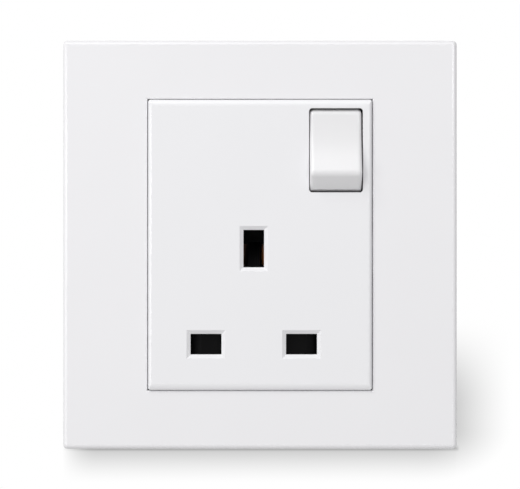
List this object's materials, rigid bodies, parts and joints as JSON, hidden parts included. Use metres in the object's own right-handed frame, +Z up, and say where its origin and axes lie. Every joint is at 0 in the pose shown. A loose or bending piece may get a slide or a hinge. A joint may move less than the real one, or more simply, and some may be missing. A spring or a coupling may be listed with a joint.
{
  "type": "switched socket outlet",
  "caption": "Switched wall socket outlet: white frame, raised insert with bevelled rectangular pin apertures behind a sprung shutter, a rocker switch and rear screw terminals.",
  "frame": {"origin": "midpoint between the two wall-box screw slots, in the wall plane", "axes": "+X to the right and +Z up as mounted, the front faces -Y and the terminals face +Y"},
  "size_m": [0.0922, 0.0321, 0.0954],
  "materials": {
    "frame_white": "glossy moulded",
    "front_white": "glossy moulded",
    "rocker_white": "glossy moulded",
    "plated_sheet": "zinc plated",
    "housing_dark": "moulded, fine matt",
    "shutter_black": "moulded, satin",
    "contact_bronze": "rolled strip",
    "terminal_brass": "machined",
    "contact_silver": "satin",
    "screw_steel": "plated",
    "spring_steel": "drawn wire"
  },
  "bodies": {
    "base": {"cover_frame": "frame_white", "mounting_bracket": "plated_sheet", "socket_front": "front_white", "shutter_retainer": "shutter_black", "shutter_spring": "spring_steel", "rear_housing": "housing_dark", "housing_screws": "screw_steel", "switch_cradle": "contact_bronze", "fixed_strip": "contact_bronze", "fixed_contact": "contact_silver", "line_clip": "contact_bronze", "neutral_contact": "contact_bronze", "earth_contact": "contact_bronze", "line_terminal": "terminal_brass", "neutral_terminal": "terminal_brass", "earth_terminal": "terminal_brass", "terminal_screws": "terminal_brass"},
    "rocker": {"rocker": "rocker_white", "plunger_spring": "spring_steel"},
    "plunger": {"plunger": "shutter_black"},
    "contact_arm": {"switch_arm": "contact_bronze", "moving_contact": "contact_silver"},
    "shutter": {"shutter": "shutter_black"}
  },
  "joints": [
    {"name": "rocker_tilt", "type": "hinge", "parent": "base", "child": "rocker", "pos_m": [0.01757, -0.0035, 0.02193], "axis": [1, 0, 0], "range_deg": [0, 28]},
    {"name": "contact_arm_tilt", "type": "hinge", "parent": "base", "child": "contact_arm", "pos_m": [0.01757, 0.00202, 0.02193], "axis": [1, 0, 0], "range_deg": [-14, 0]},
    {"name": "plunger_slide", "type": "slide", "parent": "rocker", "child": "plunger", "axis": [0, -0.9703, 0.2419], "range_m": [0, 0.0006], "stiffness_N_per_m": 300, "springref_m": -0.002, "deforming": ["plunger_spring"]},
    {"name": "shutter_slide", "type": "slide", "parent": "base", "child": "shutter", "axis": [0, 0, -1], "range_m": [0, 0.0055], "stiffness_N_per_m": 80, "springref_m": -0.006, "deforming": ["shutter_spring"]}
  ],
  "couplings": [
    {"joint": "contact_arm_tilt", "follows": "rocker_tilt", "ratio": -0.5}
  ]
}
